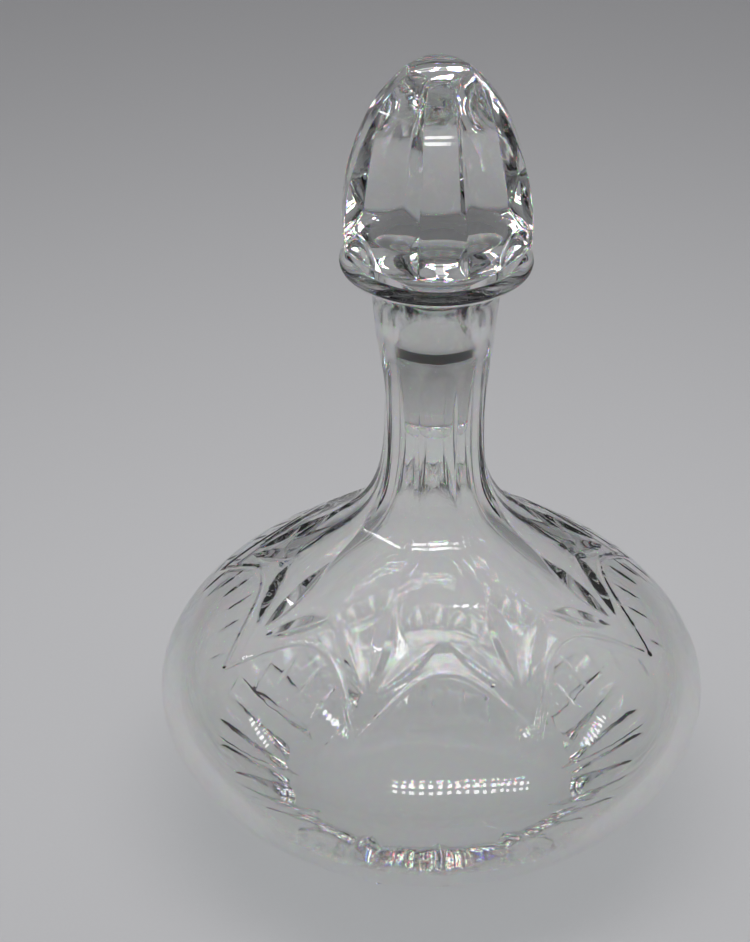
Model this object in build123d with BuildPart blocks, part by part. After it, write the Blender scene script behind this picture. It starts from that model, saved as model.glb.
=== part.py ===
from build123d import *
import os
from math import cos, sin, tan, radians, sqrt

# Cut-crystal wine decanter: a flat-bowled body with a fluted neck, and the
# faceted stopper, in place in the neck. Millimetres, +Z up, origin at the
# centre of the foot, on the face the decanter stands on.

# ------------------------------------------------------------ driving sizes
n_motifs = 8                 # neck flutes, leaf sprays and fans round the body
motif_pitch = 360 / n_motifs
pattern_turn = 3.0           # the cut pattern is turned this far about +Z

foot_radius = 57.0           # outer edge of the foot
foot_bevel = (1.4, 1.2)      # width and height of the bevel on that edge
foot_hollow = 42.0           # radius of the shallow hollow under the foot
hollow_depth = 1.6           # depth of that hollow on the axis
bowl_radius = 92.5           # widest circle of the bowl
bowl_height = 48.5           # height of that circle
neck_radius = 16.9           # narrowest part of the neck, outside
neck_height = 154.0          # height of that part
lip_radius = 30.5            # outer edge of the rolled lip
mouth_radius = 24.0          # inner edge of the lip
lip_mid = 211.3              # height of the middle of the lip
lip_half = 2.2               # half the lip's thickness
floor_top = 9.0              # inside of the thick base, on the axis

seat_bottom = 180.0          # ground seat in the neck
seat_top = 187.0
band_bottom = 181.5          # ground band on the stopper's plug
band_top = 185.5
band_radius = 12.70          # band at its top
ground_taper = 0.05          # radius lost per unit of depth
ground_gap = 0.045           # radial running clearance in the seat

tip_z = 150.5                # lower end of the plug
plug_flats = 8
collar_z = 197.3             # where the plug meets the collar
collar_top = 205.0           # top of the collar's core, inside the head
head_top = 277.5             # crown of the stopper
head_turn = 48.0             # turn of the head's wide facets about +Z


def band_r(z):
    """Radius of the plug's ground band."""
    return band_radius - (band_top - z) * ground_taper


def seat_r(z):
    """Radius of the ground seat in the neck."""
    return band_r(z) + ground_gap


# ------------------------------------------------------------ body profiles
# Each is a list of (radius, height) points.
# outer profile, from the foot up to the underside of the lip
outer = [(60.4, 6.0), (70.3, 15.0), (82.6, 26.5), (90.2, 38.5),
         (bowl_radius, bowl_height), (90.9, 57.0), (82.5, 70.0), (72.2, 80.0),
         (59.5, 90.0), (48.3, 98.7), (37.7, 107.0), (29.6, 114.0),
         (24.0, 120.2), (19.9, 128.0), (17.5, 139.0),
         (neck_radius, neck_height), (17.7, 171.0), (19.2, 188.0),
         (20.0, 196.0), (20.7, 201.0), (22.2, 204.8), (24.8, 207.5),
         (27.9, 209.1)]
outer_tangents = [(0.70, 1.0), (1.0, 0.36)]
# inner profile, from the floor up to the ground seat
inner = [(48.0, floor_top + 0.6), (62.0, 14.2), (73.5, 24.0), (81.5, 33.5),
         (85.6, 42.5), (86.6, 49.5), (84.6, 57.5), (76.8, 68.5),
         (66.6, 77.9), (54.4, 87.2), (43.8, 95.2), (33.8, 102.9),
         (26.4, 109.2), (20.6, 115.6), (16.4, 123.0), (13.8, 133.0),
         (12.5, 147.0), (12.35, 163.0), (12.42, 174.0)]
# mouth, from above the seat up to the inside of the lip
mouth = [(13.7, 192.4), (15.2, 197.6), (17.4, 202.2), (20.2, 206.1),
         (22.7, 208.9)]
# rolled lip, over the top from the outer profile to the mouth
lip = [outer[-1], (30.0, 209.9), (lip_radius, lip_mid),
       (27.3, lip_mid + lip_half), (mouth_radius, lip_mid + 0.1), mouth[-1]]
# bottom of a neck flute, from its top end down to the shoulder
flute_floor = [(21.0, 191.0), (18.75, 183.6), (17.25, 176.0),
               (16.25, 167.0), (15.75, 154.0), (16.25, 141.0),
               (18.1, 130.2), (21.9, 121.3), (27.2, 114.1),
               (33.0, 108.7), (38.6, 104.2), (44.6, 100.1),
               (49.7, 97.1), (56.0, 94.2)]
flute_reach = 66.0           # outer side of the flute cutter, clear of the glass
flute_half_width = 17.0

# ------------------------------------------------------------ wheel cuts
# leaf spray: height, azimuth from the ridge, lean, wheel radius, depth of cut
leaf_table = [(97.6, 0.0, 0.0, 62.0, 2.0),
              (94.0, 11.6, 43.0, 88.0, 1.8),
              (94.0, -11.6, -43.0, 88.0, 1.8)]
leaf_half_angle = 60.0       # of the V edge
leaf_edge_height = 4.2
leaf_arc = 36.0              # degrees of the wheel's rim that are built

# fan of hollows: azimuth from the middle of the fan, height, depth of cut
fan_table = [(-16.9, 12.4, 0.99), (-5.7, 14.2, 1.15),
             (5.7, 14.2, 1.15), (16.9, 12.4, 0.99)]
fan_lean = 1.1               # lean per degree of azimuth
fan_wheel_radius = 150.0
fan_half_width = 7.0
fan_arc = 19.0               # degrees of the wheel's rim that are built

# the outer profile as a curve, to place the wheel cuts on the bowl
bowl_curve = Spline(*[(r, 0, z) for r, z in outer],
                    tangents=[(r, 0, z) for r, z in outer_tangents])


def on_bowl(height, azimuth):
    """Point, outward normal and uphill direction on the bowl."""
    low, high = 0.0, 0.92
    for _ in range(40):
        mid = (low + high) / 2
        if (bowl_curve @ mid).Z < height:
            low = mid
        else:
            high = mid
    point, uphill = bowl_curve @ low, bowl_curve % low
    angle = radians(azimuth)

    def turned(v):
        return Vector(v.X * cos(angle), v.X * sin(angle), v.Z)
    normal = Vector(uphill.Z, 0, -uphill.X)
    return turned(point), turned(normal), turned(uphill)


def against_bowl(height, azimuth, lean, radius, depth):
    """Where a wheel sits for a cut, leaning this far from straight uphill."""
    point, normal, uphill = on_bowl(height, azimuth)
    side = uphill.cross(normal)
    along = uphill * cos(radians(lean)) + side * sin(radians(lean))
    centre = point + normal * (radius - depth)
    return Plane(origin=centre, x_dir=normal * -1,
                 z_dir=normal.cross(along)).location


def v_wheel(radius, half_angle, height, arc):
    """Part of the rim of a V-edged cutting wheel, its axis along local Z."""
    half = height * tan(radians(half_angle))
    with BuildPart(mode=Mode.PRIVATE) as rim:
        with BuildSketch(Plane.XZ):
            with BuildLine():
                Polyline((radius, 0), (radius - height, half),
                         (radius - height, -half), close=True)
            make_face()
        revolve(axis=Axis.Z, revolution_arc=arc)
    return Rot(0, 0, -arc / 2) * rim.part


def round_wheel(radius, depth, half_width, arc, margin=2.5, rim_depth=6.0):
    """Part of the rim of a wheel with a rounded edge, its axis along Z.

    At this depth the cut is half_width to each side; the rim is wider by
    the margin.
    """
    edge_radius = (half_width ** 2 + depth ** 2) / (2 * depth)
    half = half_width + margin
    drop = edge_radius - sqrt(edge_radius ** 2 - half ** 2)
    with BuildPart(mode=Mode.PRIVATE) as rim:
        with BuildSketch(Plane.XZ):
            with BuildLine():
                ThreePointArc((radius - drop, -half), (radius, 0),
                              (radius - drop, half))
                Polyline((radius - drop, half), (radius - rim_depth, half),
                         (radius - rim_depth, -half), (radius - drop, -half))
            make_face()
        revolve(axis=Axis.Z, revolution_arc=arc)
    return Rot(0, 0, -arc / 2) * rim.part


leaf_cuts = []
fan_cuts = []
for i in range(n_motifs):
    # a leaf spray on the shoulder, under each ridge between two flutes
    middle = pattern_turn + i * motif_pitch
    ridge = middle + motif_pitch / 2
    for height, offset, lean, radius, depth in leaf_table:
        place = against_bowl(height, ridge + offset, lean, radius, depth)
        leaf_cuts.append(
            place * v_wheel(radius, leaf_half_angle, leaf_edge_height, leaf_arc))
    # a fan of hollows on the lower bowl, under each neck flute
    for offset, height, depth in fan_table:
        place = against_bowl(height, middle + offset, offset * fan_lean,
                             fan_wheel_radius, depth)
        fan_cuts.append(
            place * round_wheel(fan_wheel_radius, depth, fan_half_width, fan_arc))

# mitre cuts round the foot: a V-shaped cutter, its edge running up and outward
notch_count = 12
notch_half_angle = 56.0
notch_height = 9.0
notch_half = notch_height * tan(radians(notch_half_angle))
notch_length = 36.5
notch_start = Vector(46.3, 0, -0.5)
notch_end = Vector(76.0, 0, 20.4)

# ------------------------------------------------------------ decanter body
with BuildPart() as decanter_body:
    with BuildSketch(Plane.XZ):
        with BuildLine():
            Spline((0, hollow_depth), (foot_hollow * 0.6, 1.05), (foot_hollow, 0),
                   tangents=[(1, 0), (1, -0.055)])
            Polyline((foot_hollow, 0), (foot_radius - foot_bevel[0], 0),
                     (foot_radius, foot_bevel[1]), outer[0])
            Spline(*outer, tangents=outer_tangents)
            Spline(*lip, tangents=[outer_tangents[1], (-0.62, -1.0)])
            Polyline(mouth[-1], (0, mouth[-1][1]), (0, hollow_depth))
        make_face()
    revolve(axis=Axis.Z)

    # the hollow: bowl, neck bore, ground seat and funnel mouth
    with BuildSketch(Plane.XZ):
        with BuildLine():
            Line((0, floor_top), inner[0])
            Spline(*inner, tangents=[(1, 0.18), (0, 1)])
            Polyline(inner[-1], (seat_r(seat_bottom), seat_bottom),
                     (seat_r(seat_top), seat_top))
            Spline((seat_r(seat_top), seat_top), *mouth,
                   tangents=[(0.12, 1), (0.62, 1.0)])
            Polyline(mouth[-1], (0, mouth[-1][1] + 4.0), (0, floor_top))
        make_face()
    revolve(axis=Axis.Z, mode=Mode.SUBTRACT)

    # neck flutes: each follows the neck and runs out on the shoulder
    with BuildSketch(Plane.XZ):
        with BuildLine():
            Spline(*flute_floor)
            Polyline(flute_floor[-1], (flute_reach, flute_floor[-1][1]),
                     (flute_reach, flute_floor[0][1]), flute_floor[0])
        make_face()
    flute = extrude(amount=flute_half_width, both=True, mode=Mode.PRIVATE)
    with Locations(Rotation(0, 0, pattern_turn)):
        with PolarLocations(0, n_motifs):
            add(flute, mode=Mode.SUBTRACT)

    # mitre cuts round the foot leave it with a lobed edge
    with BuildSketch(Plane(origin=notch_start, x_dir=(0, -1, 0),
                           z_dir=notch_end - notch_start)):
        with BuildLine():
            Polyline((0, 0), (notch_half, notch_height),
                     (-notch_half, notch_height), close=True)
        make_face()
    notch = extrude(amount=notch_length, mode=Mode.PRIVATE)
    with Locations(Rotation(0, 0, pattern_turn)):
        with PolarLocations(0, notch_count):
            add(notch, mode=Mode.SUBTRACT)

    add(leaf_cuts, mode=Mode.SUBTRACT)
    add(fan_cuts, mode=Mode.SUBTRACT)

# ------------------------------------------------------------ stopper profiles
# (radius, height) points, as for the body
# underside of the head, from the stem out to the rim
trumpet = [(10.0, 203.0), (12.4, 206.2), (17.0, 208.6), (21.2, 211.0),
           (25.0, 214.8), (31.5, 219.2)]
# crown, from the rim in to the axis
crown = [(31.5, 262.0), (16.0, 272.6), (8.5, 276.3), (0, head_top)]
# (distance from the axis, height) of the wide and narrow facets, going up
wide = [(25.9, 216.5), (26.1, 222.5), (25.8, 229.5), (24.5, 240.0),
        (21.3, 253.0), (16.9, 264.8), (12.4, 271.8)]
narrow = [(28.9, 216.5), (29.3, 224.0), (29.0, 231.0), (27.2, 242.5),
          (23.6, 254.0), (18.2, 265.0), (13.0, 271.8)]
slab_bottom = 190.0          # lower end of the facet slabs, clear of the head
slab_half_width = 40.0

# barrel cutter for the head's underside
barrel_radius = 14.6         # at mid-length
barrel_end_radius = 10.6
barrel_half = 12.5           # half its length
barrel_out = 28.0            # its axis, out from the stopper's
barrel_z = 201.2

# collar: start, middle and end of each arc, from the top down
collar_arcs = [((9.6, 203.4), (10.9, 202.1), (9.7, 200.8)),
               ((9.7, 200.8), (9.2, 200.3), (9.6, 199.8)),
               ((9.6, 199.8), (10.5, 198.8), (9.3, 197.8))]
# plug shoulder, from the collar down to the ground band
shoulder = [(8.8, collar_z), (10.2, 193.6), (11.9, 189.6),
            (band_r(band_top), band_top)]
# rounded lower edge of the plug
plug_edge = [(9.1, 152.3), (8.5, 151.0), (7.3, tip_z)]

# plug flat: straight run, then the arched top
flat_start = (8.05, 148.0)
flat_arch = [(11.2, 174.0), (11.75, 178.0), (12.7, 181.3)]
flat_reach = 18.0            # outer side of the flat cutter
flat_half_width = 9.0


def facet_pair(profile):
    """Draw the closed section of two opposite facets in the open BuildLine."""
    mirrored = [(-x, z) for x, z in reversed(profile)]
    top_x = profile[-1][0] - 6.5
    Spline(*profile)
    Polyline(profile[-1], (top_x, head_top + 1.0), (-top_x, head_top + 1.0),
             mirrored[0])
    Spline(*mirrored)
    Polyline(mirrored[-1], (mirrored[-1][0], slab_bottom),
             (profile[0][0], slab_bottom), profile[0])


# ------------------------------------------------------------ stopper
with BuildPart() as stopper:
    # head: crown, trumpet underside and stem, turned first
    with BuildSketch(Plane.XZ):
        with BuildLine():
            Polyline((0, trumpet[0][1]), trumpet[0])
            Spline(*trumpet, tangents=[(0.2, 1), (1, 0.4)])
            Polyline(trumpet[-1], crown[0])
            Spline(*crown, tangents=[(-1, 0.9), (-1, 0)])
            Polyline(crown[-1], (0, trumpet[0][1]))
        make_face()
    revolve(axis=Axis.Z)

    # four wide facets, then four narrow ones across the corners
    for turn, profile in ((0, wide), (90, wide), (45, narrow), (135, narrow)):
        with BuildSketch(Plane.XZ):
            with BuildLine():
                facet_pair(profile)
            make_face()
        slab = extrude(amount=slab_half_width, both=True, mode=Mode.PRIVATE)
        add(Rot(0, 0, head_turn + turn) * slab, mode=Mode.INTERSECT)

    # hollowed underside below each wide facet
    with BuildSketch(Plane.XY):
        with BuildLine():
            ThreePointArc((barrel_end_radius, -barrel_half), (barrel_radius, 0),
                          (barrel_end_radius, barrel_half))
            Polyline((barrel_end_radius, barrel_half), (0, barrel_half),
                     (0, -barrel_half), (barrel_end_radius, -barrel_half))
        make_face()
    barrel = revolve(axis=Axis.Y, mode=Mode.PRIVATE)
    for k in range(4):
        add(Rot(0, 0, head_turn + 90 * k) * Pos(barrel_out, 0, barrel_z) * barrel,
            mode=Mode.SUBTRACT)

    # collar rings, plug shoulder, ground band and plug
    with BuildSketch(Plane.XZ):
        with BuildLine():
            collar_start = collar_arcs[0][0]
            Polyline((0, collar_top), (collar_start[0], collar_top), collar_start)
            for arc_points in collar_arcs:
                ThreePointArc(*arc_points)
            Polyline(collar_arcs[-1][-1], shoulder[0])
            Spline(*shoulder, tangents=[(0.25, -1), (0.1, -1)])
            Polyline(shoulder[-1], (band_r(band_bottom), band_bottom),
                     (12.2, 179.2), plug_edge[0])
            ThreePointArc(*plug_edge)
            Polyline(plug_edge[-1], (0, tip_z), (0, collar_top))
        make_face()
    revolve(axis=Axis.Z)

    # long flats with arched tops round the plug
    with BuildSketch(Plane.XZ):
        with BuildLine():
            Polyline(flat_start, flat_arch[0])
            Spline(*flat_arch, tangents=[(0.122, 1), (0.5, 1)])
            Polyline(flat_arch[-1], (flat_reach, flat_arch[-1][1]),
                     (flat_reach, flat_start[1]), flat_start)
        make_face()
    flat = extrude(amount=flat_half_width, both=True, mode=Mode.PRIVATE)
    with Locations(Rotation(0, 0, pattern_turn)):
        with PolarLocations(0, plug_flats):
            add(flat, mode=Mode.SUBTRACT)

# ------------------------------------------------------------ files
os.makedirs("parts", exist_ok=True)
for name, piece in (("decanter_body", decanter_body), ("stopper", stopper)):
    piece.part.label = name
    export_step(piece.part, f"parts/{name}.step")
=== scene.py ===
"""Cut-crystal decanter with its stopper seated, standing upright on the floor.

The axis is +Z and the foot rests on z = 0. Shapes are worked out in millimetres in the CAD
frame and turned into metres when each mesh is made. The stage, lights and camera are in
metres, and the camera looks from -Y. Angles are in degrees unless a line says otherwise.
"""

import math

import bpy
import numpy as np
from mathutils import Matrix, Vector


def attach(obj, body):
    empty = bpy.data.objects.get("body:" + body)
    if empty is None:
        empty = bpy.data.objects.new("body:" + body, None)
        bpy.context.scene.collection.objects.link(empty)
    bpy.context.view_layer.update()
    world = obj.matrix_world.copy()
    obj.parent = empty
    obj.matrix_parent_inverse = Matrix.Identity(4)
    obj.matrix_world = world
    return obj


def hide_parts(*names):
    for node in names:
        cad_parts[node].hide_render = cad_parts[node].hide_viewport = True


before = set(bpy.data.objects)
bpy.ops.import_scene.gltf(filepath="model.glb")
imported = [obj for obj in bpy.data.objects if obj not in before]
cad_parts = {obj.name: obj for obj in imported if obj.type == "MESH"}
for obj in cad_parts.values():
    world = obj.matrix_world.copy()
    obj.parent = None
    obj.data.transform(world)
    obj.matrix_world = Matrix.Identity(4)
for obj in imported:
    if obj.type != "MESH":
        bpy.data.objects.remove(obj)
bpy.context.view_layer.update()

MM = 0.001
DEGREE = math.pi / 180

TURN = 3.0                          # the cut pattern's turn about +Z
MOTIFS = 8
PITCH = 360.0 / MOTIFS
COLUMNS = 960                       # mesh columns round the bowl
HALF, QUARTER = COLUMNS // 2, COLUMNS // 4
FINE_STEP, COARSE_STEP = 0.62, 1.7  # row steps in the cut zones and on plain glass


# ------------------------------------------------------------------ curves
def spline(points, start=None, end=None, count=1500):
    """Smooth curve through points (r, z), with end directions if given."""
    points = np.array(points, float)
    gaps = np.linalg.norm(np.diff(points, axis=0), axis=1)
    total = len(points)
    matrix, target = np.zeros((total, total)), np.zeros((total, 2))
    for i in range(1, total - 1):
        matrix[i, i - 1], matrix[i, i + 1] = 1 / gaps[i - 1], 1 / gaps[i]
        matrix[i, i] = 2 * (1 / gaps[i - 1] + 1 / gaps[i])
        target[i] = 3 * ((points[i] - points[i - 1]) / gaps[i - 1] ** 2
                         + (points[i + 1] - points[i]) / gaps[i] ** 2)
    for i, beside, gap, direction in ((0, 1, 0, start), (total - 1, total - 2, total - 2, end)):
        if direction is None:
            matrix[i, i], matrix[i, beside] = 2, 1
            target[i] = 3 * (points[gap + 1] - points[gap]) / gaps[gap]
        else:
            matrix[i, i] = 1
            target[i] = np.array(direction, float) / np.linalg.norm(direction)
    slopes = np.linalg.solve(matrix, target)

    knots = np.concatenate([[0], np.cumsum(gaps)])
    at = np.linspace(0, knots[-1], count)
    i = np.clip(np.searchsorted(knots, at, side="right") - 1, 0, total - 2)
    s = ((at - knots[i]) / gaps[i])[:, None]
    gap = gaps[i][:, None]
    return ((2 * s ** 3 - 3 * s ** 2 + 1) * points[i]
            + (s ** 3 - 2 * s ** 2 + s) * gap * slopes[i]
            + (3 * s ** 2 - 2 * s ** 3) * points[i + 1]
            + (s ** 3 - s ** 2) * gap * slopes[i + 1])


def lines(*points, step=0.2):
    """Straight segments through points, densely sampled."""
    out = [np.array(points[0], float)[None]]
    for a, b in zip(points[:-1], points[1:]):
        a, b = np.array(a, float), np.array(b, float)
        pieces = max(1, int(np.linalg.norm(b - a) / step))
        out.append(a + (b - a) * np.linspace(0, 1, pieces + 1)[1:, None])
    return np.vstack(out)


def join(*curves):
    """Curves end to end, with each shared point kept once."""
    return np.vstack([curves[0]] + [curve[1:] for curve in curves[1:]])


def walk(curve, step_at):
    """Points along a curve, each a local step from the last; both ends are kept."""
    length = np.linalg.norm(np.diff(curve, axis=0), axis=1)
    arc = np.concatenate([[0], np.cumsum(length)])
    at = [0.0]
    while at[-1] < arc[-1]:
        r, z = np.interp(at[-1], arc, curve[:, 0]), np.interp(at[-1], arc, curve[:, 1])
        at.append(at[-1] + step_at(r, z))
    at = np.array(at) * (arc[-1] / at[-1])
    return np.stack([np.interp(at, arc, curve[:, 0]), np.interp(at, arc, curve[:, 1])], 1)


def polar(r, azimuth, z):
    """A ring of points from arrays of radius and azimuth; z may be one height."""
    return np.stack([r * np.cos(azimuth * DEGREE), r * np.sin(azimuth * DEGREE), z + 0 * r], 1)


def turned(profile, columns):
    """Rings of points for profile rows (r, z), each with its own column count."""
    return [polar(np.full(n, r), TURN + np.arange(n) * 360.0 / n, z)
            for (r, z), n in zip(profile, columns)]


# ------------------------------------------------------------------ meshes
def around(count):
    """Indices round a ring, and the next index after each."""
    here = np.arange(count)
    return here, (here + 1) % count


def ring_mesh(name, rings, start_pole, end_pole, ground_rows):
    """One closed skin from rings; a ring may have twice or half the last one's points.

    Quads between the first and last of ground_rows take the second material.
    """
    sizes = [len(ring) for ring in rings]
    base = 1 + np.concatenate([[0], np.cumsum(sizes)])   # first vertex of each ring

    here, after = around(sizes[0])
    tris = [np.stack([np.zeros(sizes[0], int), base[0] + after, base[0] + here], 1)]
    quads, quad_rows = [], []
    for i, (a, b) in enumerate(zip(sizes[:-1], sizes[1:])):
        low, high = base[i], base[i + 1]
        here, after = around(min(a, b))
        if a == b:
            quads.append(np.stack([low + here, low + after, high + after, high + here], 1))
            quad_rows.append(np.full(a, i))
        elif a == 2 * b:
            middle = low + 2 * here + 1
            tris.append(np.stack([low + 2 * here, middle, high + here], 1))
            tris.append(np.stack([middle, high + after, high + here], 1))
            tris.append(np.stack([middle, low + (2 * here + 2) % a, high + after], 1))
        else:
            middle = high + 2 * here + 1
            tris.append(np.stack([low + here, middle, high + 2 * here], 1))
            tris.append(np.stack([low + here, low + after, middle], 1))
            tris.append(np.stack([low + after, high + (2 * here + 2) % b, middle], 1))
    here, after = around(sizes[-1])
    tris.append(np.stack([base[-2] + here, base[-2] + after, np.full(sizes[-1], base[-1])], 1))
    tris, quads, quad_rows = np.vstack(tris), np.vstack(quads), np.concatenate(quad_rows)
    poles = np.array([start_pole], float), np.array([end_pole], float)
    points = np.vstack([poles[0], *rings, poles[1]]) * MM

    mesh = bpy.data.meshes.new(name)
    mesh.vertices.add(len(points))
    mesh.vertices.foreach_set("co", points.astype(np.float32).ravel())
    loops = np.concatenate([quads.ravel(), tris.ravel()])
    mesh.loops.add(len(loops))
    mesh.loops.foreach_set("vertex_index", loops.astype(np.int32))
    totals = np.concatenate([np.full(len(quads), 4), np.full(len(tris), 3)])
    starts = np.cumsum(totals) - totals
    mesh.polygons.add(len(totals))
    mesh.polygons.foreach_set("loop_start", starts.astype(np.int32))
    mesh.polygons.foreach_set("loop_total", totals.astype(np.int32))
    mesh.update(calc_edges=True)
    mesh.polygons.foreach_set("use_smooth", np.ones(len(totals), bool))
    slots = np.zeros(len(totals), np.int32)
    slots[:len(quads)] = (quad_rows >= ground_rows[0]) & (quad_rows < ground_rows[-1])
    mesh.polygons.foreach_set("material_index", slots)
    mesh.update()
    made = bpy.data.objects.new(name, mesh)
    bpy.context.scene.collection.objects.link(made)
    return made


# ------------------------------------------------------------------ cutting
class Skin:
    """The turned outer surface as one array of points, which the wheels then cut."""

    def __init__(self, profile, columns):
        self.columns = columns
        self.points = np.vstack(turned(profile, columns))
        row = np.repeat(np.arange(len(columns)), columns)
        tangent = np.gradient(profile, axis=0)
        tangent /= np.linalg.norm(tangent, axis=1)[:, None]
        gap = np.linalg.norm(np.diff(profile, axis=0), axis=1)
        gap = np.maximum(np.append(gap, gap[-1]), np.insert(gap, 0, gap[0]))
        x, y = self.points[:, 0], self.points[:, 1]
        azimuth = np.arctan2(y, x)
        cos, sin = np.cos(azimuth), np.sin(azimuth)
        tangent_r, tangent_z = tangent[row, 0], tangent[row, 1]
        # unit directions up the profile and round the axis, and the mesh step in each
        self.along = np.stack([tangent_r * cos, tangent_r * sin, tangent_z], 1)
        self.round = np.stack([-sin, cos, np.zeros_like(sin)], 1)
        self.along_step = gap[row]
        self.round_step = np.hypot(x, y) * (2 * math.pi / np.array(columns)[row])
        self.snapped = np.zeros(len(self.points), bool)

    def rings(self):
        return np.split(self.points, np.cumsum(self.columns)[:-1])

    def wheel(self, centre, normal, along, radius, depth, margin):
        """Sets a wheel over centre: its hub and axle, and the points in reach.

        The points come as indices, offsets from the hub, distances along the axle,
        offsets in the wheel's plane and the lengths of those.
        """
        axle = np.cross(normal, along)
        axle /= np.linalg.norm(axle)
        hub = centre + normal * (radius - depth)
        reach = math.sqrt(2 * depth * radius) + margin
        pick = np.flatnonzero(((self.points - centre) ** 2).sum(1) < reach ** 2)
        offset = self.points[pick] - hub
        across = offset @ axle
        spoke = offset - across[:, None] * axle
        return hub, axle, pick, offset, across, spoke, np.linalg.norm(spoke, axis=1)

    def press(self, hub, pick, offset, spoke, rho, push, inside):
        """Moves the points inside the wheel straight out to its surface."""
        offset = offset + np.where(inside, push / rho, 0)[:, None] * spoke
        self.points[pick[inside]] = (offset + hub)[inside]

    def mitre(self, centre, normal, along, radius, depth, half_angle):
        """A V-edged wheel cut: its bottom runs along `along`, deepest under centre."""
        hub, axle, pick, offset, across, spoke, rho = self.wheel(
            centre, normal, along, radius, depth, margin=4)
        # the points nearest the bottom line slide onto it, so that the line is clean
        near = 0.5 * np.maximum(np.abs(self.round[pick] @ axle) * self.round_step[pick],
                                np.abs(self.along[pick] @ axle) * self.along_step[pick])
        snap = (np.abs(across) < near) & ~self.snapped[pick] & (rho < radius - 0.03)
        offset[snap] -= across[snap][:, None] * axle
        across[snap] = 0
        self.snapped[pick[snap]] = True
        push = radius - np.abs(across) / math.tan(half_angle * DEGREE) - rho
        self.press(hub, pick, offset, spoke, rho, push, push > 0)

    def scoop(self, centre, normal, along, radius, depth, half_width):
        """A round-edged wheel cut: a long shallow hollow with rounded ends."""
        hub, _, pick, offset, across, spoke, rho = self.wheel(
            centre, normal, along, radius, depth, margin=half_width + 4)
        edge = (half_width ** 2 + depth ** 2) / (2 * depth)   # the wheel edge's own radius
        rim = radius - edge + np.sqrt(np.maximum(edge ** 2 - across ** 2, 0))
        push = rim - rho
        self.press(hub, pick, offset, spoke, rho, push, (push > 0) & (np.abs(across) < edge))

    def groove(self, path, half_width, depth):
        """A fine V line that follows points laid on the surface."""
        lo, hi = path.min(0) - half_width - 2, path.max(0) + half_width + 2
        pick = np.flatnonzero(((self.points > lo) & (self.points < hi)).all(1))
        near = self.points[pick]
        best = np.full(len(near), 1e9)
        for a, b in zip(path[:-1], path[1:]):
            ab = b - a
            t = np.clip(((near - a) @ ab) / (ab @ ab), 0, 1)
            best = np.minimum(best, np.linalg.norm(near - a - t[:, None] * ab, axis=1))
        sink = np.clip(1 - best / half_width, 0, 1) * depth
        outward = np.cross(self.round[pick], self.along[pick])
        self.points[pick] = near - outward * sink[:, None]


# ------------------------------------------------------------------ decanter profiles, (r, z)
HOLLOW_TOP = 1.6            # centre of the hollow under the foot
FLOOR_TOP = 9.0             # centre of the bowl's inside floor
STAND = (42.0, 0.0)         # inner edge of the ring it stands on
FOOT_TOP = (60.4, 6.0)
LIP_FOOT = (27.9, 209.1)
LIP_FOOT_RUN = (1.0, 0.36)  # the profile's direction there
MOUTH = (22.7, 208.9)
SEAT_TOP = (12.82, 187.0)
SEAT_FOOT_Z = 180.0
BORE = (12.42, 174.0)
INNER_FLOOR = (48.0, 9.6)

OUTER = spline([
    FOOT_TOP, (70.3, 15.0), (82.6, 26.5), (90.2, 38.5), (92.5, 48.5), (90.9, 57.0),
    (82.5, 70.0), (72.2, 80.0), (59.5, 90.0), (48.3, 98.7), (37.7, 107.0), (29.6, 114.0),
    (24.0, 120.2), (19.9, 128.0), (17.5, 139.0), (16.9, 154.0), (17.7, 171.0), (19.2, 188.0),
    (20.0, 196.0), (20.7, 201.0), (22.2, 204.8), (24.8, 207.5), LIP_FOOT,
], (0.70, 1.0), LIP_FOOT_RUN, 4000)
LIP = spline([LIP_FOOT, (30.0, 209.9), (30.5, 211.3), (27.3, 213.5), (24.0, 211.4), MOUTH],
             LIP_FOOT_RUN, (-0.62, -1.0), 800)
MOUTH_INSIDE = spline([SEAT_TOP, (13.7, 192.4), (15.2, 197.6), (17.4, 202.2), (20.2, 206.1),
                       MOUTH], (0.12, 1), (0.62, 1.0), 600)
BOWL_INSIDE = spline([
    INNER_FLOOR, (62.0, 14.2), (73.5, 24.0), (81.5, 33.5), (85.6, 42.5), (86.6, 49.5),
    (84.6, 57.5), (76.8, 68.5), (66.6, 77.9), (54.4, 87.2), (43.8, 95.2), (33.8, 102.9),
    (26.4, 109.2), (20.6, 115.6), (16.4, 123.0), (13.8, 133.0), (12.5, 147.0),
    (12.35, 163.0), BORE,
], (1, 0.18), (0, 1), 3000)
# from the mouth down to the middle of the inside floor
INNER = join(MOUTH_INSIDE[::-1], lines(SEAT_TOP, (12.47, SEAT_FOOT_Z), BORE),
             BOWL_INSIDE[::-1], lines(INNER_FLOOR, (0.6, FLOOR_TOP)))
HOLLOW = spline([(0.0, HOLLOW_TOP), (25.2, 1.05), STAND], (1, 0), (1, -0.055), 400)
UNDERSIDE = join(HOLLOW[HOLLOW[:, 0] > 1.0], lines(STAND, (55.6, 0.0), (57.0, 1.2), FOOT_TOP))

# ------------------------------------------------------------------ decanter cuts
# mitres round the foot: each bottom line runs through two points (r, z)
FOOT_CUTS = 12
FOOT_CUT_LOW, FOOT_CUT_HIGH = np.array([46.3, -0.5]), np.array([76.0, 20.4])
FOOT_CUT_HALF_ANGLE = 56

# fan of hollow flutes on the lower bowl: azimuth from the motif's middle, height, depth share
FAN = ((-16.9, 12.4, 0.86), (-5.7, 14.2, 1.0), (5.7, 14.2, 1.0), (16.9, 12.4, 0.86))
FAN_LEAN = 1.1              # lean per degree of azimuth
FAN_WHEEL, FAN_DEPTH, FAN_HALF_WIDTH = 150.0, 1.35, 7.2

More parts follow.
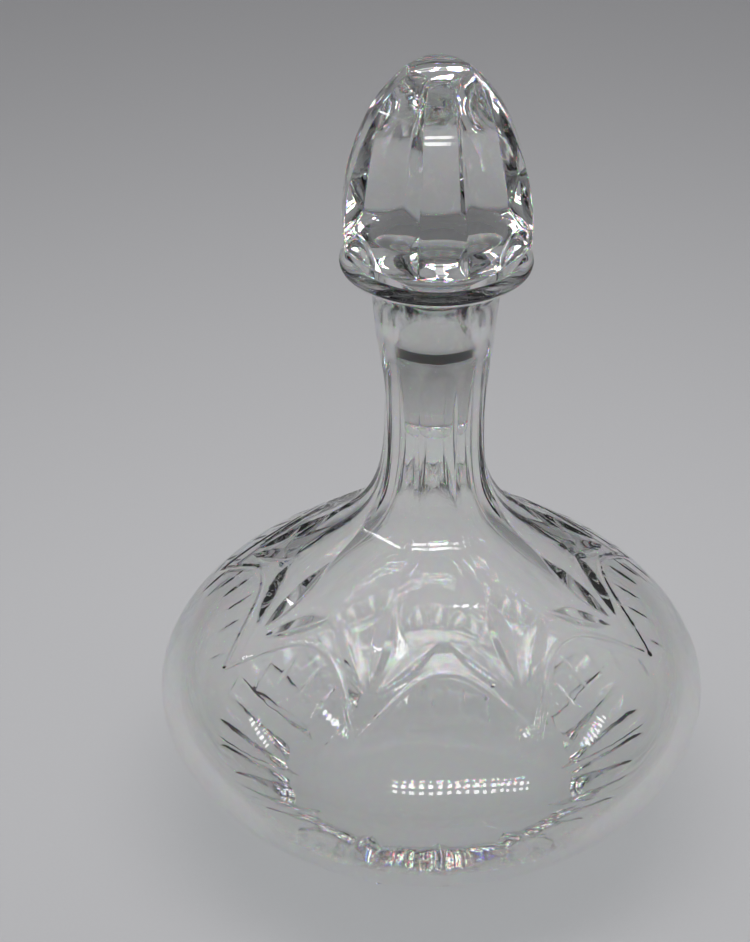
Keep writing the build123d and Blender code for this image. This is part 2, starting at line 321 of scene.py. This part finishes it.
# leaf spray on the shoulder: azimuth from the ridge between motifs, height, lean,
# wheel radius, depth
SPRAY = ((0, 97.6, 0, 62.0, 2.0), (11.6, 94.0, 43.0, 88.0, 1.8),
         (-11.6, 94.0, -43.0, 88.0, 1.8))
SPRAY_HALF_ANGLE = 60.0

# arch between two sprays, and the fine rays under it
ARCH_TOP, ARCH_DROP, ARCH_POWER = 92.0, 15.5, 2.2
ARCH_POINTS, ARCH_HALF_WIDTH, ARCH_DEPTH = 61, 1.1, 0.42
RAYS = (-18.2, -11.6, -4.6, 4.6, 11.6, 18.2)
RAY_BELOW_ARCH, RAY_SPREAD, RAY_LEAN = 6.2, 0.93, 1.3
RAY_WHEEL, RAY_DEPTH, RAY_HALF_ANGLE = 90.0, 0.34, 66.0

# a neck flute's middle line (distance from the axis, z), and the part of it that cuts
NECK_FLUTE = spline([
    (21.0, 191.0), (18.75, 183.6), (17.25, 176.0), (16.25, 167.0), (15.75, 154.0),
    (16.25, 141.0), (18.1, 130.2), (21.9, 121.3), (27.2, 114.1), (33.0, 108.7),
    (38.6, 104.2), (44.6, 100.1), (49.7, 97.1), (56.0, 94.2),
], count=2400)
NECK_FLUTE_LOW, NECK_FLUTE_HIGH, NECK_FLUTE_REACH = 94.3, 190.9, 17


def placed(height, azimuth, lean):
    """Point, outward normal and leaning uphill direction on the turned bowl.

    A positive lean is towards greater azimuth.
    """
    i = int(np.searchsorted(OUTER[:, 1], height))
    (r, z), (run, rise) = OUTER[i], OUTER[i + 1] - OUTER[i - 1]
    length = math.hypot(run, rise)
    run, rise = run / length, rise / length
    cos, sin = math.cos(azimuth * DEGREE), math.sin(azimuth * DEGREE)
    normal = np.array([rise * cos, rise * sin, -run])
    uphill = np.array([run * cos, run * sin, rise])
    side = np.cross(uphill, normal)
    direction = uphill * math.cos(lean * DEGREE) + side * math.sin(lean * DEGREE)
    return np.array([r * cos, r * sin, z]), normal, direction


def cut_foot(skin):
    """Mitre cuts round the foot leave it lobed."""
    run = FOOT_CUT_HIGH - FOOT_CUT_LOW
    run /= np.linalg.norm(run)
    for k in range(FOOT_CUTS):
        azimuth = (TURN + 360 / FOOT_CUTS * k) * DEGREE
        cos, sin = math.cos(azimuth), math.sin(azimuth)
        normal = np.array([cos * run[1], sin * run[1], -run[0]])
        low_r, low_z = FOOT_CUT_LOW
        offset = skin.points - np.array([low_r * cos, low_r * sin, low_z])
        across, height = offset @ np.array([-sin, cos, 0]), offset @ normal
        pick = np.flatnonzero((height > 0) & (np.abs(across) < 8)
                              & (skin.points @ np.array([cos, sin, 0]) > 0)
                              & (skin.points[:, 2] < 30))
        push = height[pick] - np.abs(across[pick]) / math.tan(FOOT_CUT_HALF_ANGLE * DEGREE)
        pick, push = pick[push > 0], push[push > 0]
        skin.points[pick] -= push[:, None] * normal


def arch_height(offset):
    return ARCH_TOP - ARCH_DROP * abs(offset / (PITCH / 2)) ** ARCH_POWER


def cut_motif(skin, middle):
    """One repeat of the bowl's pattern, and the spray on the ridge after it."""
    for offset, height, share in FAN:
        skin.scoop(*placed(height, middle + offset, offset * FAN_LEAN),
                   FAN_WHEEL, FAN_DEPTH * share, FAN_HALF_WIDTH)
    for offset, height, lean, wheel, depth in SPRAY:
        skin.mitre(*placed(height, middle + PITCH / 2 + offset, lean),
                   wheel, depth, SPRAY_HALF_ANGLE)
    arch = np.array([placed(arch_height(offset), middle + offset, 0)[0]
                     for offset in np.linspace(-PITCH / 2, PITCH / 2, ARCH_POINTS)])
    skin.groove(arch, ARCH_HALF_WIDTH, ARCH_DEPTH)
    for offset in RAYS:
        spot = placed(arch_height(offset) - RAY_BELOW_ARCH, middle + offset * RAY_SPREAD,
                      offset * RAY_LEAN)
        skin.mitre(*spot, RAY_WHEEL, RAY_DEPTH, RAY_HALF_ANGLE)


def cut_neck(skin):
    """Long flat-bottomed flutes up the neck."""
    for k in range(MOTIFS):
        azimuth = (TURN + PITCH * k) * DEGREE
        outward = np.array([math.cos(azimuth), math.sin(azimuth), 0])
        side = np.array([-outward[1], outward[0], 0])
        out, z = skin.points @ outward, skin.points[:, 2]
        limit = np.interp(z, NECK_FLUTE[::-1, 1], NECK_FLUTE[::-1, 0])
        pick = np.flatnonzero((z > NECK_FLUTE_LOW) & (z < NECK_FLUTE_HIGH) & (out > limit)
                              & (np.abs(skin.points @ side) < NECK_FLUTE_REACH))
        skin.points[pick] -= (out[pick] - limit[pick])[:, None] * outward


def outside_step(r, z):
    if z < 34:
        return FINE_STEP if r > 40 else 1.3
    if z < 56:
        return COARSE_STEP
    if z < 112:
        return FINE_STEP
    return 1.0 if z < 196 else 0.7


def build_decanter():
    under = walk(UNDERSIDE, outside_step)
    wall = walk(join(OUTER, LIP), outside_step)
    columns = [QUARTER if r < 12 else HALF if r < 40 else COLUMNS for r, z in under]
    # join drops the wall's first row, which repeats the last one of the underside
    columns += [COLUMNS if z < 116 else HALF for r, z in wall[1:]]
    skin = Skin(join(under, wall), columns)
    cut_foot(skin)
    for i in range(MOTIFS):
        cut_motif(skin, TURN + i * PITCH)
    cut_neck(skin)

    inside = walk(INNER, lambda r, z: 1.0 if z > 172 else 1.6)[1:]
    rings = skin.rings() + turned(inside, [QUARTER] * len(inside))
    seat = [i + len(columns) for i, (r, z) in enumerate(inside)
            if SEAT_FOOT_Z <= z <= SEAT_TOP[1] and r < 13]
    return ring_mesh("decanter_glass", rings, (0, 0, HOLLOW_TOP), (0, 0, FLOOR_TOP), seat)


# ------------------------------------------------------------------ stopper
SIDES = 384
HEAD_TURN = 48.0            # azimuth of one of the head's four wide facets
HEAD_LOW, HEAD_HIGH = 216.5, 271.8   # heights between which the facets have outlines
HEAD_TAPER = 0.9            # inward run per millimetre above them
PLUG_FOOT, STOPPER_TOP = 150.5, 277.5

# distance of each kind of facet from the axis, by height
WIDE = spline([(25.9, HEAD_LOW), (26.1, 222.5), (25.8, 229.5), (24.5, 240.0), (21.3, 253.0),
               (16.9, 264.8), (12.4, HEAD_HIGH)])
NARROW = spline([(28.9, HEAD_LOW), (29.3, 224.0), (29.0, 231.0), (27.2, 242.5),
                 (23.6, 254.0), (18.2, 265.0), (13.0, HEAD_HIGH)])
# (r, z) from the top down, and the head's underside from the stem out
DOME = spline([(31.5, 262.0), (16.0, 272.6), (8.5, 276.3), (0, STOPPER_TOP)],
              (-1, 0.9), (-1, 0))[::-1]
FLARE = spline([(10.0, 203.0), (12.4, 206.2), (17.0, 208.6), (21.2, 211.0), (25.0, 214.8),
                (31.5, 219.2)], (0.2, 1), (1, 0.4))

# round-edged wheel that hollows the underside below each wide facet
HOLLOW_HUB_X, HOLLOW_HUB_Z, HOLLOW_WHEEL = 28.0, 201.2, 14.6
HOLLOW_HALF_WIDTH, HOLLOW_DEPTH = 12.5, 4.0

# plug and stem (r, z), from the foot up
PLUG_CORNER, PLUG_SIDE = (7.3, PLUG_FOOT), (9.1, 152.3)
PLUG_TOP, WAIST = (12.70, 185.5), (8.8, 197.3)
BEAD_LOW, BEAD_HIGH = (9.3, 197.8), (9.6, 199.8)
COLLAR_LOW, COLLAR_HIGH = (9.7, 200.8), (9.9, 203.3)
STEM = join(
    lines((0.8, PLUG_FOOT), PLUG_CORNER),
    spline([PLUG_CORNER, (8.5, 151.0), PLUG_SIDE], (1, 0.1), (0.12, 1), 60),
    lines(PLUG_SIDE, (12.2, 179.2), (12.50, 181.5), PLUG_TOP),
    spline([WAIST, (10.2, 193.6), (11.9, 189.6), PLUG_TOP], (0.25, -1), (0.1, -1), 300)[::-1],
    lines(WAIST, BEAD_LOW),
    spline([BEAD_LOW, (10.5, 198.8), BEAD_HIGH], (1, 0.1), (-1, 0.3), 80),
    spline([BEAD_HIGH, (9.2, 200.3), COLLAR_LOW], (-0.7, 0.7), (0.7, 0.7), 40),
    spline([COLLAR_LOW, (10.9, 202.1), COLLAR_HIGH], (1, 0.2), (-0.6, 1), 80))

# the flats on the plug: distance from the axis, by height
FLATS_TOP = 181.3
FLATS = join(lines((8.05, 148.0), (11.2, 174.0)),
             spline([(11.2, 174.0), (11.75, 178.0), (12.7, FLATS_TOP)],
                    (0.122, 1), (0.5, 1), 200))
GROUND_LOW, GROUND_HIGH = 181.4, 185.6   # the ground band, just above the flats

EVEN = HEAD_TURN + np.arange(SIDES) * 360.0 / SIDES   # evenly spaced column azimuths


def from_nearest(azimuth, first, pitch):
    """Angle from the nearest of the evenly pitched directions that include `first`."""
    return (azimuth - first + pitch / 2) % pitch - pitch / 2


def facet_radius(azimuth, z):
    """Distance from the axis to the head's facets."""
    taper = np.maximum(z - HEAD_HIGH, 0) * HEAD_TAPER
    wide = np.interp(z, WIDE[:, 1], WIDE[:, 0]) - taper
    narrow = np.interp(z, NARROW[:, 1], NARROW[:, 0]) - taper
    off_wide = from_nearest(azimuth, HEAD_TURN, 90.0)
    off_narrow = from_nearest(azimuth, HEAD_TURN + 45.0, 90.0)
    return np.minimum(wide / np.cos(off_wide * DEGREE), narrow / np.cos(off_narrow * DEGREE))


def dome_radius(z):
    return np.interp(-z, -DOME[:, 1], DOME[:, 0])


def under_head(r, azimuth):
    """Height of the head's underside, with a hollow under each wide facet."""
    z = np.interp(r, FLARE[:, 0], FLARE[:, 1])
    angle = from_nearest(azimuth, HEAD_TURN, 90.0) * DEGREE
    x, y = r * np.cos(angle) - HOLLOW_HUB_X, r * np.sin(angle)
    edge = (HOLLOW_HALF_WIDTH ** 2 + HOLLOW_DEPTH ** 2) / (2 * HOLLOW_DEPTH)
    rim = HOLLOW_WHEEL - edge + np.sqrt(np.maximum(edge ** 2 - y ** 2, 0))
    top = HOLLOW_HUB_Z + np.sqrt(np.maximum(rim ** 2 - x ** 2, 0))
    hollowed = (np.abs(y) < HOLLOW_HALF_WIDTH) & (np.abs(x) < rim)
    return np.where(hollowed, np.maximum(z, top), z)


def spread(z):
    """Azimuths of the columns at a height, so that a column runs along each ridge."""
    wide, narrow = np.interp(z, WIDE[:, 1], WIDE[:, 0]), np.interp(z, NARROW[:, 1], NARROW[:, 0])
    ridge = math.atan2(narrow / wide - math.cos(math.pi / 4), math.sin(math.pi / 4)) / DEGREE
    ridge = min(max(ridge, 12.0), 36.0)
    local = from_nearest(EVEN, HEAD_TURN, 90.0)
    facet = (EVEN - HEAD_TURN) - local
    even_ridge = 30.0       # the even column angle that is moved onto the ridge
    angle = np.abs(local)
    moved = np.where(angle < even_ridge, angle * ridge / even_ridge,
                     ridge + (angle - even_ridge) * (45.0 - ridge) / (45.0 - even_ridge))
    return HEAD_TURN + facet + np.sign(local) * moved


def stem_ring(r, z):
    radius = np.full(SIDES, r)
    if z < FLATS_TOP:
        limit = np.interp(z, FLATS[:, 1], FLATS[:, 0])
        off_flat = from_nearest(EVEN, TURN, PITCH)
        radius = np.minimum(r, limit / np.cos(off_flat * DEGREE))
    return polar(radius, EVEN, z)


def underside_rings(stem_r, stem_z):
    """From the top of the stem out to the rim, where the underside meets the facets."""
    rings = []
    rim_columns = spread(217.0)
    for t in np.linspace(0, 1, 44)[1:]:
        azimuth = EVEN + (rim_columns - EVEN) * min(1.0, t * 1.6)
        edge = facet_radius(azimuth, HEAD_LOW)
        for _ in range(8):
            edge = facet_radius(azimuth, under_head(edge, azimuth))
        r = stem_r + (edge - stem_r) * t
        z = under_head(r, azimuth)
        if t < 0.12:
            z = np.maximum(z, stem_z + 0.02)
        rings.append(polar(r, azimuth, z))
    return rings


def facet_rings(rim_z):
    """From the rim up to the line where the crown's dome takes over."""
    low, high = np.full(SIDES, 240.0), np.full(SIDES, 277.0)
    for _ in range(40):
        middle = (low + high) / 2
        over = facet_radius(EVEN, middle) > dome_radius(middle)
        high = np.where(over, middle, high)
        low = np.where(over, low, middle)
    crown_z = (low + high) / 2
    rings = []
    for t in np.linspace(0, 1, 64)[1:]:
        z = rim_z + (crown_z - rim_z) * t
        azimuth = spread(float(z.mean()))
        rings.append(polar(np.minimum(facet_radius(azimuth, z), dome_radius(z)), azimuth, z))
    return rings


def dome_rings(edge):
    """From the last facet ring in to the top of the dome."""
    edge_r, azimuth = np.hypot(edge[:, 0], edge[:, 1]), np.arctan2(edge[:, 1], edge[:, 0]) / DEGREE
    return [polar(edge_r * t, azimuth, np.interp(edge_r * t, DOME[:, 0], DOME[:, 1]))
            for t in np.linspace(1, 0.05, 16)[1:]]


def build_stopper():
    stem = walk(STEM, lambda r, z: 0.9 if z < 180 else 0.45 if z < 192 else 0.3 if z > 197 else 0.7)
    rings = [stem_ring(r, z) for r, z in stem]
    rings += underside_rings(*stem[-1])
    rings += facet_rings(rings[-1][:, 2])
    rings += dome_rings(rings[-1])
    ground = [i for i, (r, z) in enumerate(stem) if GROUND_LOW <= z <= GROUND_HIGH]
    return ring_mesh("stopper_glass", rings, (0, 0, PLUG_FOOT), (0, 0, STOPPER_TOP), ground)


# ------------------------------------------------------------------ shader helpers
def blank_tree(owner):
    """The emptied node tree of a material or world."""
    owner.use_nodes = True
    owner.node_tree.nodes.clear()
    return owner.node_tree


def node(tree, kind, inputs, **settings):
    """Adds a node. An input takes a value, a socket, or a node for its first output."""
    made = tree.nodes.new("ShaderNode" + kind)
    for key, value in settings.items():
        setattr(made, key, value)
    for key, value in inputs.items():
        if isinstance(value, bpy.types.Node):
            value = value.outputs[0]
        if isinstance(value, bpy.types.NodeSocket):
            tree.links.new(value, made.inputs[key])
        else:
            made.inputs[key].default_value = value
    return made


def mix_colour(tree, factor, a, b):
    """Colour mix; a Mix node's colour sockets are inputs 6 and 7 and output 2."""
    return node(tree, "Mix", {0: factor, 6: a, 7: b}, data_type="RGBA").outputs[2]


# ------------------------------------------------------------------ crystal
IOR = 1.546
CHANNEL_IORS = (1.5420, IOR, 1.5510)    # red, green, blue
CRYSTAL_TINT = (0.992, 0.994, 0.990)
UNSPLIT = 0.62              # share of the first refraction that keeps its colours together


def crystal(name, ground=False):
    """Clear lead crystal: fine polishing waves, slight dispersion, faint smears."""
    material = bpy.data.materials.new(name)
    tree = blank_tree(material)
    place = node(tree, "TexCoord", {}).outputs["Object"]
    path = node(tree, "LightPath", {}).outputs

    wave = node(tree, "TexNoise", {"Vector": place, "Scale": 75.0, "Detail": 2.0})
    fine = node(tree, "TexNoise", {
        "Vector": place, "Scale": 5200.0 if ground else 420.0, "Detail": 3.0})
    wave_bump = node(tree, "Bump", {
        "Strength": 1.0, "Distance": 0.00009, "Height": wave.outputs["Fac"]})
    normal = node(tree, "Bump", {
        "Strength": 1.0, "Distance": 0.00002 if ground else 0.000006,
        "Height": fine.outputs["Fac"], "Normal": wave_bump})
    smear = node(tree, "MapRange", {
        "Value": fine.outputs["Fac"], "From Min": 0.55, "From Max": 0.8,
        "To Min": 0.05 if ground else 0.0, "To Max": 0.12 if ground else 0.016})

    def refraction(colour, ior):
        return node(tree, "BsdfRefraction", {
            "Color": (*colour, 1), "IOR": ior, "Roughness": smear, "Normal": normal})

    red, green, blue = (
        refraction([CRYSTAL_TINT[i] if i == channel else 0.0 for i in range(3)], ior)
        for channel, ior in enumerate(CHANNEL_IORS))
    split = node(tree, "AddShader", {0: node(tree, "AddShader", {0: red, 1: green}), 1: blue})
    # colours part where a sight line first enters the glass; deeper surfaces bend all alike
    deeper = node(tree, "Math", {0: path["Transmission Depth"], 1: 0.5},
                  operation="GREATER_THAN")
    plain = node(tree, "Math", {0: deeper, 1: UNSPLIT}, operation="MAXIMUM")
    through = node(tree, "MixShader", {0: plain, 1: split, 2: refraction(CRYSTAL_TINT, IOR)})

    gloss = node(tree, "BsdfGlossy", {
        "Color": (1, 1, 1, 1), "Roughness": smear, "Normal": normal})
    fresnel = node(tree, "Fresnel", {"IOR": IOR, "Normal": normal})
    glass = node(tree, "MixShader", {0: fresnel, 1: through, 2: gloss})
    # shadow and diffuse rays go straight through, slightly dimmed
    clear = node(tree, "BsdfTransparent", {"Color": (0.945, 0.95, 0.95, 1)})
    straight = node(tree, "Math", {0: path["Is Shadow Ray"], 1: path["Is Diffuse Ray"]},
                    operation="MAXIMUM")
    surface = node(tree, "MixShader", {0: straight, 1: glass, 2: clear})
    # thick crystal takes a little light, which draws the edges of the bowl
    depth = node(tree, "VolumeAbsorption", {"Color": (0.50, 0.51, 0.51, 1), "Density": 9.0})
    node(tree, "OutputMaterial", {"Surface": surface, "Volume": depth})
    return material


# ------------------------------------------------------------------ stage
def add_floor():
    bpy.ops.mesh.primitive_circle_add(vertices=96, radius=9.0, fill_type="NGON",
                                      location=(0, 0, 0))
    floor = bpy.context.object
    floor.name = "floor"
    material = bpy.data.materials.new("floor_sheet")
    material.use_nodes = True
    tree = material.node_tree
    sheet = tree.nodes["Principled BSDF"]
    sheet.inputs["Roughness"].default_value = 0.55
    sheet.inputs["Specular IOR Level"].default_value = 0.25
    place = node(tree, "TexCoord", {}).outputs["Object"]
    grain = node(tree, "TexNoise", {"Vector": place, "Scale": 900.0})
    colour = mix_colour(tree, grain.outputs["Fac"],
                        a=(0.575, 0.575, 0.588, 1), b=(0.595, 0.595, 0.608, 1))
    tree.links.new(colour, sheet.inputs["Base Color"])
    floor.data.materials.append(material)


# sky brightness by the upward part of the direction: position, level
SKY = ((0.0, 0.20), (0.06, 0.20), (0.24, 0.24), (0.42, 0.38), (0.75, 0.55), (1.0, 0.60))
SKY_BLUE = 1.03


def add_world():
    world = bpy.data.worlds.new("studio")
    bpy.context.scene.world = world
    tree = blank_tree(world)
    place = node(tree, "TexCoord", {}).outputs["Generated"]
    upward = node(tree, "SeparateXYZ", {0: place}).outputs["Z"]
    sky = node(tree, "ValToRGB", {0: upward})
    stops = sky.color_ramp.elements
    for position, _ in SKY[1:-1]:
        stops.new(position)
    for stop, (position, level) in zip(stops, SKY):
        stop.position = position
        stop.color = (level, level, level * SKY_BLUE, 1)
    path = node(tree, "LightPath", {}).outputs
    # the glass mirrors the sky; the floor and the camera each get a flat grey
    unseen = mix_colour(tree, path["Is Diffuse Ray"], a=sky, b=(0.19, 0.19, 0.195, 1))
    colour = mix_colour(tree, path["Is Camera Ray"], a=unseen, b=(0.15, 0.15, 0.154, 1))
    node(tree, "OutputWorld", {"Surface": node(tree, "Background", {"Color": colour})})


def add_overhead():
    """The one lamp, which faces straight down."""
    data = bpy.data.lights.new("overhead", "AREA")
    data.shape = "RECTANGLE"
    data.size, data.size_y = 0.7, 0.45
    data.energy = 3.35
    data.spread = 160 * DEGREE
    lamp = bpy.data.objects.new("overhead", data)
    bpy.context.scene.collection.objects.link(lamp)
    location, target = Vector((0.0, 0.02, 0.76)), Vector((0, 0.02, 0))
    lamp.location = location
    lamp.rotation_euler = (target - location).to_track_quat("-Z", "Y").to_euler()
    lamp.visible_camera = False
    lamp.visible_glossy = False
    lamp.visible_transmission = False


def add_panel(name, y_cells, scale, location):
    """A two-cell-wide panel with an empty material; neither the camera nor the floor sees it."""
    bpy.ops.mesh.primitive_grid_add(x_subdivisions=2, y_subdivisions=y_cells, size=1.0)
    panel = bpy.context.object
    panel.name = name
    panel.scale = (*scale, 1)
    panel.location = location
    panel.visible_camera = False
    panel.visible_diffuse = False
    material = bpy.data.materials.new(name)
    panel.data.materials.append(material)
    return panel, blank_tree(material)


def glow(tree, strength):
    emission = node(tree, "Emission", {"Strength": strength})
    node(tree, "OutputMaterial", {"Surface": emission})


def add_strip(name, way, elevation, distance, size, strength, dots, shift_x=0.0):
    """A strip light: a row of small bright lamps.

    way is the angle from -Y towards +X; shift_x slides the strip along X.
    """
    way, elevation = way * DEGREE, elevation * DEGREE
    x = shift_x + distance * math.sin(way) * math.cos(elevation)
    y = -distance * math.cos(way) * math.cos(elevation)
    panel, tree = add_panel(name, 1, size, (x, y, distance * math.sin(elevation)))
    panel.rotation_euler = (-math.pi / 2 - elevation, 0, way)
    place = node(tree, "TexCoord", {}).outputs["Object"]
    along = node(tree, "SeparateXYZ", {0: place}).outputs["X"]
    phase = node(tree, "Math", {0: along, 1: 2 * math.pi * dots}, operation="MULTIPLY")
    wave = node(tree, "Math", {0: phase}, operation="SINE")
    glow(tree, node(tree, "MapRange", {
        "Value": wave, "From Min": -0.15, "From Max": 0.75,
        "To Min": 0.08 * strength, "To Max": strength}))


# short strips for the glints on the shoulder's cuts: way, elevation, width, height
GLINTS = ((-82, 30, 0.30, 0.035), (79, 33, 0.30, 0.035), (-58, 52, 0.26, 0.03),
          (60, 50, 0.26, 0.03), (-30, 66, 0.16, 0.025), (24, 70, 0.16, 0.025))


def add_strips():
    for i, elevation in enumerate((36.7, 40.6)):
        add_strip("strip_%d" % i, way=0, elevation=elevation, distance=1.5,
                  size=(1.43, 0.055), strength=15.0, dots=17, shift_x=0.30)
    for i, (way, elevation, width, height) in enumerate(GLINTS):
        add_strip("glint_%d" % i, way=way, elevation=elevation, distance=1.2,
                  size=(width, height), strength=17.0, dots=7)


def add_softbox():
    """A soft box overhead, seen only through the glass.

    It lights the cuts and leaves no shape on the smooth bowl.
    """
    panel, tree = add_panel("softbox", 2, (1.3, 1.0), (0.0, 0.05, 1.04))
    panel.visible_glossy = False
    panel.visible_shadow = False
    place = node(tree, "TexCoord", {}).outputs["Object"]
    from_middle = node(tree, "VectorMath", {0: place}, operation="LENGTH").outputs["Value"]
    glow(tree, node(tree, "MapRange", {
        "Value": from_middle, "From Min": 0.5, "From Max": 0.12,
        "To Min": 0.27, "To Max": 7.0}, interpolation_type="SMOOTHSTEP"))


# ------------------------------------------------------------------ camera
PIVOT_X, PIVOT_Z = -0.0192, 0.0752  # the camera is set back from this point on y = 0
PITCH_DOWN, DISTANCE = 35.17 * DEGREE, 0.9467
AIM_LIFT = 2.934098 * DEGREE        # aimed above the pivot, so that the stopper is in frame


def add_camera():
    data = bpy.data.cameras.new("camera")
    data.sensor_width = 36.0
    data.lens = 106.624204
    camera = bpy.data.objects.new("camera", data)
    bpy.context.scene.collection.objects.link(camera)
    camera.location = (PIVOT_X, -DISTANCE * math.cos(PITCH_DOWN),
                       PIVOT_Z + DISTANCE * math.sin(PITCH_DOWN))
    camera.rotation_euler = (math.pi / 2 - PITCH_DOWN + AIM_LIFT, 0.0, 0.0)
    bpy.context.scene.camera = camera


def set_render():
    scene = bpy.context.scene
    scene.view_settings.view_transform = "Standard"
    scene.cycles.max_bounces = 32
    scene.cycles.transmission_bounces = 32
    scene.cycles.glossy_bounces = 12
    scene.cycles.diffuse_bounces = 3
    scene.cycles.transparent_max_bounces = 32
    scene.cycles.sample_clamp_indirect = 12.0
    scene.cycles.use_denoising = True


# ------------------------------------------------------------------ build
decanter = build_decanter()
stopper = build_stopper()
body_crystal = crystal("cut_crystal_body")
stopper_crystal = crystal("cut_crystal_stopper")
ground_crystal = crystal("ground_crystal", ground=True)
for piece, clear_crystal in ((decanter, body_crystal), (stopper, stopper_crystal)):
    piece.data.materials.append(clear_crystal)
    piece.data.materials.append(ground_crystal)

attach(decanter, "decanter")
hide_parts("decanter_body")
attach(stopper, "stopper")
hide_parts("stopper")

add_floor()
add_world()
add_overhead()
add_strips()
add_softbox()
add_camera()
set_render()
